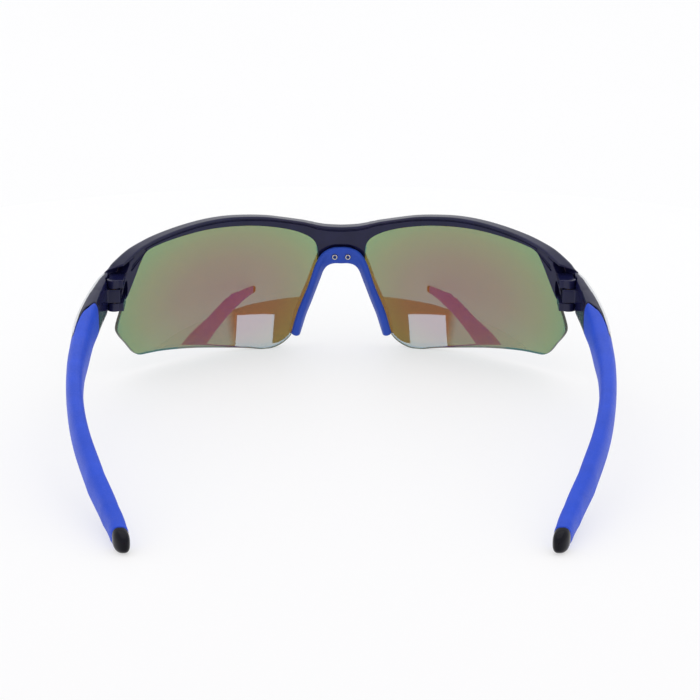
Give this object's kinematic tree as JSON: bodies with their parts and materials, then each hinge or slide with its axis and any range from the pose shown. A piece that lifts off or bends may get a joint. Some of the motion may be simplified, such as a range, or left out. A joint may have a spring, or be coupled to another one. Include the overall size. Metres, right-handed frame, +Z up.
{
  "type": "wraparound sport sunglasses",
  "caption": "Half-rim wraparound sport sunglasses with mirrored lenses, a soft nose piece and folding temples with rubber grips.",
  "frame": {"origin": "on the surface it stands on, under the middle of the bounding box, with the temples open", "axes": "+X towards the wearer's right, +Y the way the wearer looks, +Z up"},
  "size_m": [0.138, 0.157, 0.0392],
  "materials": {
    "frame_plastic": "glossy navy, almost black",
    "lens": "tinted polycarbonate with a mirror coat, olive from behind with a rosy middle",
    "soft_rubber": "matt soft-touch royal blue",
    "tip_plastic": "glossy black",
    "bright_trim": "bright silver-white",
    "steel": "bare steel",
    "brass": "plain"
  },
  "bodies": {
    "front": {"brow_frame": "frame_plastic", "nose_pad": "soft_rubber", "nose_core": "steel", "lens_left": "lens", "lens_right": "lens", "nose_screw_left": "steel", "nose_screw_right": "steel", "hinge_screw_left": "steel", "hinge_screw_right": "steel", "hinge_insert_left": "brass", "hinge_insert_right": "brass"},
    "temple_left": {"temple_arm_left": "frame_plastic", "temple_trim_left": "bright_trim", "temple_sleeve_left": "soft_rubber", "temple_core_left": "steel", "temple_tip_left": "tip_plastic", "hinge_bush_left": "brass"},
    "temple_right": {"temple_arm_right": "frame_plastic", "temple_trim_right": "bright_trim", "temple_sleeve_right": "soft_rubber", "temple_core_right": "steel", "temple_tip_right": "tip_plastic", "hinge_bush_right": "brass"}
  },
  "joints": [
    {"name": "fold_left", "type": "hinge", "parent": "front", "child": "temple_left", "pos_m": [-0.0602, 0.0419, 0.0249], "axis": [0, 0, 1], "range_deg": [0, 86]},
    {"name": "fold_right", "type": "hinge", "parent": "front", "child": "temple_right", "pos_m": [0.0602, 0.0419, 0.0249], "axis": [0, 0, -1], "range_deg": [0, 76]}
  ]
}
